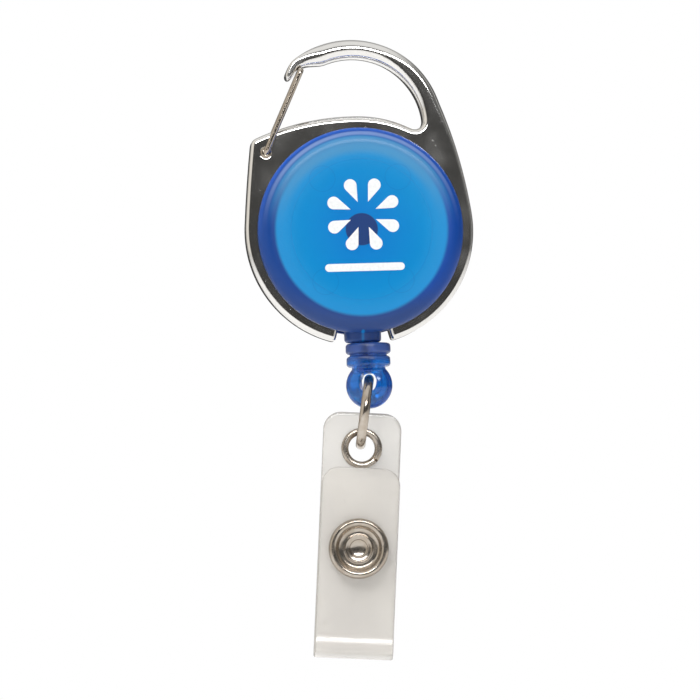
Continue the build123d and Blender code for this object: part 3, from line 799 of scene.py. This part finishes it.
def outline_of(node, level):
    """The chain of a CAD node's points at one depth, in mm, from end to end."""
    mesh = frame["nodes"][node].data
    spots, links = {}, {}
    for edge in mesh.edges:
        one, two = (mesh.vertices[i].co / MM for i in edge.vertices)
        if abs(one.y - level) > 0.004 or abs(two.y - level) > 0.004:
            continue
        names = []
        for spot in (one, two):
            name = (round(spot.x, 3), round(spot.z, 3))
            spots[name] = (spot.x, spot.z)
            names.append(name)
        if names[0] != names[1]:
            links.setdefault(names[0], set()).add(names[1])
            links.setdefault(names[1], set()).add(names[0])
    ends = [name for name, near in links.items() if len(near) == 1]
    here = min(ends) if ends else min(links)
    chain, before = [], None
    while here is not None:
        chain.append(spots[here])
        onward = [n for n in links[here] if n != before and spots[n] not in chain[-3:]]
        before, here = here, (onward[0] if onward else None)
        if here is not None and spots[here] == chain[0]:
            break
    return chain


def refinish(node, finish):
    """A CAD node keeps its shape and takes a finish."""
    thing = frame["nodes"][node]
    for slot in thing.material_slots:
        slot.material = finish_named(finish).material
    return thing


# ---------------------------------------------------------------- operators
class BADGEREEL_OT_casting(Operator):
    """Cast the carabiner frame with its rounded edges and its pivot dimple"""

    bl_idname = "badge_reel.casting"
    bl_label = "Carabiner Frame"

    def execute(self, context):
        sizes = context.scene.badge_reel_sizes
        low, high = (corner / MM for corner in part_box("carabiner_frame"))
        chain = outline_of("carabiner_frame", low.y + CASTING_BEVEL)
        if chain[0][0] > chain[-1][0]:
            chain.reverse()
        bore = hypot(*chain[0])
        left, right = (bearing(*chain[end]) for end in (0, -1))
        angles = np.radians(np.linspace(left + 360.0, right, 560))
        arc = bore * np.column_stack([np.cos(angles), np.sin(angles)])
        loop = np.vstack([evenly(chain, 0.15, closed=False), arc[1:-1]])
        if signed_area(loop) < 0:
            loop = loop[::-1]
        square = np.abs(np.hypot(loop[:, 0], loop[:, 1]) - bore) < 0.02
        loop = softened(loop, 12, square)
        hinge, _ = joint("gate_hinge")

        def ease(points):
            """Wider on the loop, widest along its top, and narrow again at the nose."""
            x, z = points[:, 0], points[:, 1]
            share = np.clip((z - 13.0) / 6.0, 0.0, 1.0) * (x > -13.0)
            width = (sizes.casting_round + (sizes.loop_round - sizes.casting_round) * share) / MM
            crest = np.clip((z - 20.0) / 4.0, 0.0, 1.0) * np.clip((9.0 - x) / 5.0, 0.0, 1.0)
            nose = np.clip((-5.0 - x) / 4.0, 0.0, 1.0) * (z > 19.0)
            width = width + 0.45 * crest
            width = width + (0.45 - width) * nose
            return width, width

        def dimple(points):
            gap = np.hypot(points[:, 0] - hinge.x, points[:, 1] - hinge.z)
            return 0.2 * np.clip((DIMPLE_RADIUS - gap) / 0.45, 0.0, 1.0)

        grid = grid_between((low.x, low.z), (high.x, high.z), 0.8, 0.8)
        beyond = np.hypot(grid[:, 0] - hinge.x, grid[:, 1] - hinge.z) > 1.5
        casting = eased_plate(
            "carabiner_casting", [loop], low.y, high.y, ease, upright, square,
            extra=[
                grid[beyond],
                *(
                    circle(hinge.x, hinge.z, radius, 32)
                    for radius in (0.2, 0.4, 0.5, 0.6, 0.7, 0.8, 0.9, 0.97, 1.04, 1.2)
                ),
            ],
            dent=dimple,
        )
        fitted(casting, "chrome_casting", "cast_metal", "reel", "carabiner_frame")
        return {"FINISHED"}


class BADGEREEL_OT_gate(Operator):
    """Polish the sprung wire gate"""

    bl_idname = "badge_reel.gate"
    bl_label = "Wire Gate"

    def execute(self, context):
        refinish("gate_wire", "gate_nickel")
        return {"FINISHED"}


class BADGEREEL_OT_case(Operator):
    """Colour the two case halves"""

    bl_idname = "badge_reel.case"
    bl_label = "Case Halves"

    def execute(self, context):
        refinish("front_case", "case_front")
        refinish("rear_case", "case_rear")
        return {"FINISHED"}


class BADGEREEL_OT_mark(Operator):
    """Print a plain ring of drops over a bar on the face"""

    bl_idname = "badge_reel.mark"
    bl_label = "Printed Mark"

    def execute(self, context):
        sizes = context.scene.badge_reel_sizes
        middle_x, ring_z, bar_z = 0.3, 2.3, -5.9
        bar_half, bar_round, inner = 6.2, 0.6, 2.1
        loops = []
        for step in range(sizes.mark_drops):
            turn = 2 * pi * (step + 0.5) / sizes.mark_drops
            loops.append(self.drop(middle_x, ring_z, turn, inner, sizes.mark_radius / MM))
        loops.append(rounded_box(
            middle_x - bar_half, bar_z - bar_round, middle_x + bar_half, bar_z + bar_round, bar_round
        ))
        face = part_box("front_case")[0].y / MM
        mark = eased_plate(
            "printed_mark", loops, face - 0.03, face + 0.01,
            lambda points: (np.full(len(points), 0.05), np.full(len(points), 0.01)), upright,
        )
        fitted(mark, "white_print", "case_front", "reel")
        return {"FINISHED"}

    def drop(self, x, z, turn, inner, outer):
        """A drop pointing inwards: a round head on the rim, a point towards the middle."""
        head = 0.26 * (outer - inner)
        head_at = outer - head
        spread = pi / 2 + asin(head / (head_at - inner))
        angles = np.linspace(-spread, spread, 40)
        out = np.column_stack([head_at + head * np.cos(angles), head * np.sin(angles)])
        out = evenly(np.vstack([out, [(inner, 0.0)]]), 0.12)
        c, s = cos(turn), sin(turn)
        return np.column_stack([x + out[:, 0] * c - out[:, 1] * s, z + out[:, 0] * s + out[:, 1] * c])


class BADGEREEL_OT_works(Operator):
    """Finish the spool and its spring, and run the braided cord through the outlet"""

    bl_idname = "badge_reel.works"
    bl_label = "Spool, Spring and Cord"

    def execute(self, context):
        refinish("spool", "spool_plastic")
        refinish("power_spring", "blued_steel")
        refinish("cord_winding", "braided_cord")
        refinish("cord_knot", "brass_crimp")
        low, high = (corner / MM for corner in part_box("cord_lead"))
        knot = middle("cord_knot") / MM
        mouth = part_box("front_case")[0].z / MM + MOUTH_UP
        line = evenly([(high.x - 0.3, high.z - 0.3), (knot.x, mouth), (knot.x, low.z)], 0.25, closed=False)
        ends = np.zeros(len(line), bool)
        ends[[0, -1]] = True
        line = softened(line, 12, ends)
        way = np.gradient(line, axis=0)
        way /= np.hypot(way[:, 0], way[:, 1])[:, None]
        rows, around, strands, turns = len(line), 48, 8, 3.0
        points, faces = [], []
        for row, ((a, b), (da, db)) in enumerate(zip(line, way)):
            lay = turns * 2 * pi * row / rows
            for step in range(around):
                angle = 2 * pi * step / around
                weave = max(abs(cos(strands / 2 * (angle + lay))), abs(cos(strands / 2 * (angle - lay))))
                radius = CORD_CORE + CORD_STRAND * weave
                across = radius * cos(angle)
                points.append(upright(a - db * across, knot.y + radius * sin(angle), b + da * across))
        for row in range(rows - 1):
            for step in range(around):
                after = (step + 1) % around
                a, b = row * around, (row + 1) * around
                faces.append((a + step, a + after, b + after, b + step))
        faces += [tuple(range(around)), tuple(range((rows - 1) * around, rows * around))]
        cord = mesh_object("cord", points, faces)
        fitted(cord, "braided_cord", "cord", None, "cord_lead")
        upright(knot.x, knot.y, mouth)
        upright(knot.x, knot.y, low.z + 0.4)
        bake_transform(cord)
        return {"FINISHED"}


class BADGEREEL_OT_bead(Operator):
    """Mould the cord's bead with soft edges and finish the jump ring"""

    bl_idname = "badge_reel.bead"
    bl_label = "Bead and Ring"

    def execute(self, context):
        bead = eased_copy("bead", "cord_end_bead", 0.1, 5)
        fitted(bead, "bead_moulding", "bead", "bead", "cord_end_bead")
        refinish("jump_ring", "ring_nickel")
        return {"FINISHED"}


class BADGEREEL_OT_strap(Operator):
    """Fold the vinyl strap from one strip, with its punched holes and eased edges"""

    bl_idname = "badge_reel.strap"
    bl_label = "Vinyl Strap"

    def execute(self, context):
        thickness = context.scene.badge_reel_sizes.sheet_thickness / MM
        eyelet = middle("strap_eyelet") / MM
        pin, hinge_way = joint("flap_fold")
        lean = atan2(hinge_way[2], hinge_way[0])
        across = Vector((cos(lean), 0.0, sin(lean)))
        up = Vector((-sin(lean), 0.0, cos(lean)))
        snap = (middle("snap_cap") / MM - eyelet).dot(up)
        back_y = middle("strap_back").y / MM
        flap_y = middle("strap_flap").y / MM

        # the strip's middle line, from the top of the back layer round the fold to the flap's top
        route = evenly([
            (back_y, BACK_TOP), (back_y, -29.9), (back_y + 0.2, -31.6), (back_y - 0.3, FOLD_FOOT),
            (flap_y + 0.1, FOLD_FOOT), (flap_y - 0.42, -31.7), (flap_y - 0.28, -30.4),
            (flap_y, -29.2), (flap_y, FLAP_TOP),
        ], 0.12, closed=False)
        ends = np.zeros(len(route), bool)
        ends[[0, 1, -2, -1]] = True
        route = softened(route, 14, ends)
        steps = np.hypot(*np.diff(route, axis=0).T)
        lengths = np.concatenate([[0.0], np.cumsum(steps)])
        total = lengths[-1]
        run = np.gradient(route, axis=0)
        run /= np.hypot(run[:, 0], run[:, 1])[:, None]

        def place(a, depth, t):
            """depth runs from the strip's outer face to its inner one."""
            y, along = (np.interp(t, lengths, route[:, axis]) for axis in range(2))
            ry, ra = (np.interp(t, lengths, run[:, axis]) for axis in range(2))
            side = depth - thickness / 2
            y, along = y + ra * side, along - ry * side
            spot = eyelet + across * a + up * along
            return upright(spot.x, y, spot.z)

        outline = rounded_box(-STRAP_HALF, 0.0, STRAP_HALF, total, STRAP_CORNER)
        snaps = (BACK_TOP - snap, total - (FLAP_TOP - snap))
        holes = [circle(0.0, BACK_TOP, EYELET_HOLE, turn=-1)]
        holes += [circle(0.0, t, SNAP_HOLE, 40, turn=-1) for t in snaps]
        fold = lengths[np.argmin(route[:, 1])]

        def ease(points):
            """The top edge and the right-hand one of the back layer catch a wider light."""
            top = np.clip(1.0 - points[:, 1] / 2.5, 0.0, 1.0)
            right = np.clip((points[:, 0] - 3.0) / 2.5, 0.0, 1.0) * (points[:, 1] < 30.0)
            width = 0.24 + 0.62 * top + 0.14 * right * (1.0 - top)
            return width, np.full(len(points), 0.22)

        strap = eased_plate(
            "vinyl_strap", [outline, *holes], 0.0, thickness, ease, place,
            extra=[
                grid_between((-STRAP_HALF, 0.0), (STRAP_HALF, total), 1.2, 1.2),
                grid_between((-STRAP_HALF, fold - 7.0), (STRAP_HALF, fold + 7.0), 0.8, 0.16),
            ],
        )
        fitted(strap, "vinyl", "vinyl", None, "strap_back", "strap_fold", "strap_flap")
        upright(pin.x, back_y - 0.4, pin.z)
        upright(pin.x, flap_y + 0.4, pin.z)
        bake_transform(strap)
        return {"FINISHED"}


class BADGEREEL_OT_fittings(Operator):
    """Roll the strap's eyelet and press the snap's cap"""

    bl_idname = "badge_reel.fittings"
    bl_label = "Eyelet and Snap"

    def execute(self, context):
        self.eyelet()
        self.cap()
        for node in ("snap_post", "snap_stud", "snap_socket", "snap_spring"):
            refinish(node, "nickel_plate")
        return {"FINISHED"}

    def eyelet(self):
        low, high = (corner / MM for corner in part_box("strap_eyelet"))
        centre = (low + high) / 2
        bore, rim = EYELET_BORE, (high.x - low.x) / 2
        front, back = (corner.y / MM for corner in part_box("strap_back"))
        crest, foot = low.y, high.y

        def notch(angle, radius):
            off = (angle - radians(EYELET_SPLIT) + pi) % (2 * pi) - pi
            return 0.3 * exp(-((off / radians(2.2)) ** 2)) * (radius > 2.5) * (radius < rim)

        front_half = [
            (rim, front), (rim, front - 0.12), (rim - 0.07, (front + crest) / 2 - 0.06),
            (rim - 0.24, crest + 0.05), (rim - 0.48, crest), (rim - 0.72, crest + 0.04),
            (bore + 0.16, crest + 0.16), (bore + 0.04, crest + 0.34), (bore, crest + 0.6),
        ]
        back_half = [
            (bore, foot - 0.45), (bore + 0.06, foot - 0.2), (bore + 0.22, foot - 0.06),
            (bore + 0.45, foot), (rim - 0.25, foot - 0.04), (rim - 0.06, foot - 0.16), (rim - 0.02, back),
        ]
        wall = [
            (rim - 0.3, back), (bore + 0.26, back - 0.02), (bore + 0.26, front + 0.02), (rim - 0.3, front),
        ]
        profile = smooth_line(front_half, 4) + smooth_line(back_half, 4) + wall
        ring = turned("rolled_eyelet", [*profile, profile[0]], centre.x, centre.z, notch)
        fitted(ring, "eyelet_nickel", "nickel", "strap", "strap_eyelet")

    def cap(self):
        low, high = (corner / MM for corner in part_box("snap_cap"))
        centre = (low + high) / 2
        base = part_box("strap_flap")[0].y / MM
        rim, height = (high.x - low.x) / 2, base - low.y
        face = [
            (rim - 0.28, 0.02), (rim - 0.05, 0.16), (rim, 0.45), (rim - 0.06, 0.82), (rim - 0.20, 1.13),
            (rim - 0.38, 0.97 * height), (rim - 0.60, height), (rim - 0.84, 0.985 * height),
            (rim - 1.04, 0.90 * height), (rim - 1.26, 0.72 * height), (rim - 1.50, 0.50 * height),
            (rim - 1.74, 0.36 * height), (rim - 2.00, 0.32 * height), (rim - 2.30, 0.315 * height),
            (rim - 2.46, 0.34 * height), (2.15, 0.44 * height), (2.06, 0.46 * height), (1.95, 0.42 * height),
            (1.80, 0.375 * height), (1.60, 0.345 * height), (1.46, 0.30 * height), (1.30, 0.19 * height),
            (1.00, 0.10 * height), (0.60, 0.05 * height), (0.30, 0.035 * height), (0.0, 0.03 * height),
        ]
        under = [(0.0, 0.01), (rim - 0.5, 0.01)]
        profile = smooth_line([(r, base - h) for r, h in face], 4) + [(r, base - h) for r, h in under]
        cap = turned("pressed_cap", [*profile, profile[0]], centre.x, centre.z)
        fitted(cap, "snap_nickel", "nickel", "flap", "snap_cap")


class BADGEREEL_OT_stage(Operator):
    """Set the floor, the light and the camera"""

    bl_idname = "badge_reel.stage"
    bl_label = "Stage"

    def execute(self, context):
        scene = context.scene
        level = CAD_BOX[0][2] - FLOOR_DROP
        turns = [2 * pi * step / FLOOR_STEPS for step in range(FLOOR_STEPS)]
        points = [(0.0, 0.0, level)]
        points += [(FLOOR_RADIUS * cos(turn), FLOOR_RADIUS * sin(turn), level) for turn in turns]
        faces = [(0, 1 + step, 1 + (step + 1) % FLOOR_STEPS) for step in range(FLOOR_STEPS)]
        floor = mesh_object("studio_floor", points, faces)
        finish_named("studio_floor").cover(floor)
        scene.view_settings.view_transform = "Standard"
        self.world(scene)
        for lamp in LAMPS:
            self.lamp(*lamp)
        self.camera(scene)
        return {"FINISHED"}

    def world(self, scene):
        """A pale room with dark sides for the metal to show; the lens sees it plain white."""
        world = bpy.data.worlds.new("soft_room")
        world.use_nodes = True
        room = Nodes(world.node_tree)
        x, y, z = room.axes(room.value("ShaderNodeTexCoord", {}, {}, "Generated"))
        front = 1.0 - (y * -1.0).ramp(0.58, 0.88)
        rear = (1.0 - y.ramp(0.15, 0.60) * 0.55) * (1.0 - y.ramp(0.90, 0.99))
        right = x.ramp(0.40, 0.72) * abs(y + 0.05).ramp(0.03, 0.10)
        level = front * rear * (1.0 - right * 0.9)
        warmth = (z * -1.0).larger(x * -1.0).ramp(0.1, 0.8)
        walls = room.blend(warmth, (0.89, 0.885, 0.87), (0.86, 0.82, 0.75))
        walls = room.blend(level, (0.045, 0.044, 0.042), walls)
        path = room.node("ShaderNodeLightPath", {}, {})
        seen, through = (Field(room, path.outputs[f"Is {ray} Ray"]) for ray in ("Camera", "Transmission"))
        shown = room.blend(seen.larger(through), walls, (1.0, 1.0, 1.0))
        light = room.node("ShaderNodeBackground", {}, {"Color": shown, "Strength": 1.0})
        output = room.node("ShaderNodeOutputWorld", {}, {})
        room.tree.links.new(light.outputs[0], output.inputs["Surface"])
        scene.world = world

    def lamp(self, name, place, aim, size, power, glints):
        """A soft box, which lights the piece or, with glints, only shows in its gloss."""
        data = bpy.data.lights.new(name, "AREA")
        data.shape = "RECTANGLE"
        data.size, data.size_y = size
        data.energy = power
        lamp = bpy.data.objects.new(name, data)
        lamp.location = place
        lamp.rotation_euler = (aim - Vector(place)).to_track_quat("-Z", "Y").to_euler()
        lamp.visible_glossy = glints
        lamp.visible_diffuse = not glints
        bpy.context.scene.collection.objects.link(lamp)

    def camera(self, scene):
        distance = scene.badge_reel_sizes.camera_distance
        turn, tilt, roll = (radians(angle) for angle in (VIEW_TURN, VIEW_TILT, VIEW_ROLL))
        back = Vector((sin(turn) * cos(tilt), -cos(turn) * cos(tilt), sin(tilt)))
        data = bpy.data.cameras.new("camera")
        data.sensor_width = SENSOR_MM
        data.lens = SENSOR_MM * distance / SEEN_WIDTH
        data.clip_start = 0.01
        camera = bpy.data.objects.new("camera", data)
        camera.location = TARGET + back * distance
        aim = (-back).to_track_quat("-Z", "Y") @ Quaternion((0.0, 0.0, 1.0), -roll)
        camera.rotation_mode = "QUATERNION"
        camera.rotation_quaternion = aim
        scene.collection.objects.link(camera)
        scene.camera = camera


class BADGEREEL_PT_panel(Panel):
    """Lists every step of the build"""

    bl_label = "Badge Reel"
    bl_idname = "BADGEREEL_PT_panel"
    bl_space_type = "VIEW_3D"
    bl_region_type = "UI"
    bl_category = "Badge Reel"

    def draw(self, context):
        for group in (context.scene.badge_reel_sizes, context.scene.badge_reel_colours):
            for name in group.bl_rna.properties.keys():
                if name not in ("rna_type", "name"):
                    self.layout.prop(group, name)
        for step in STEPS:
            self.layout.operator(step.bl_idname)


STEPS = (
    BADGEREEL_OT_casting,
    BADGEREEL_OT_gate,
    BADGEREEL_OT_case,
    BADGEREEL_OT_mark,
    BADGEREEL_OT_works,
    BADGEREEL_OT_bead,
    BADGEREEL_OT_strap,
    BADGEREEL_OT_fittings,
    BADGEREEL_OT_stage,
)
CLASSES = (BadgeReelSizes, BadgeReelColours, *STEPS, BADGEREEL_PT_panel)


def register():
    for item in CLASSES:
        bpy.utils.register_class(item)
    bpy.types.Scene.badge_reel_sizes = PointerProperty(type=BadgeReelSizes)
    bpy.types.Scene.badge_reel_colours = PointerProperty(type=BadgeReelColours)


def unregister():
    del bpy.types.Scene.badge_reel_colours
    del bpy.types.Scene.badge_reel_sizes
    for item in reversed(CLASSES):
        bpy.utils.unregister_class(item)


def main():
    register()
    for step in STEPS:
        group, name = step.bl_idname.split(".")
        getattr(getattr(bpy.ops, group), name)()


if __name__ == "__main__":
    main()
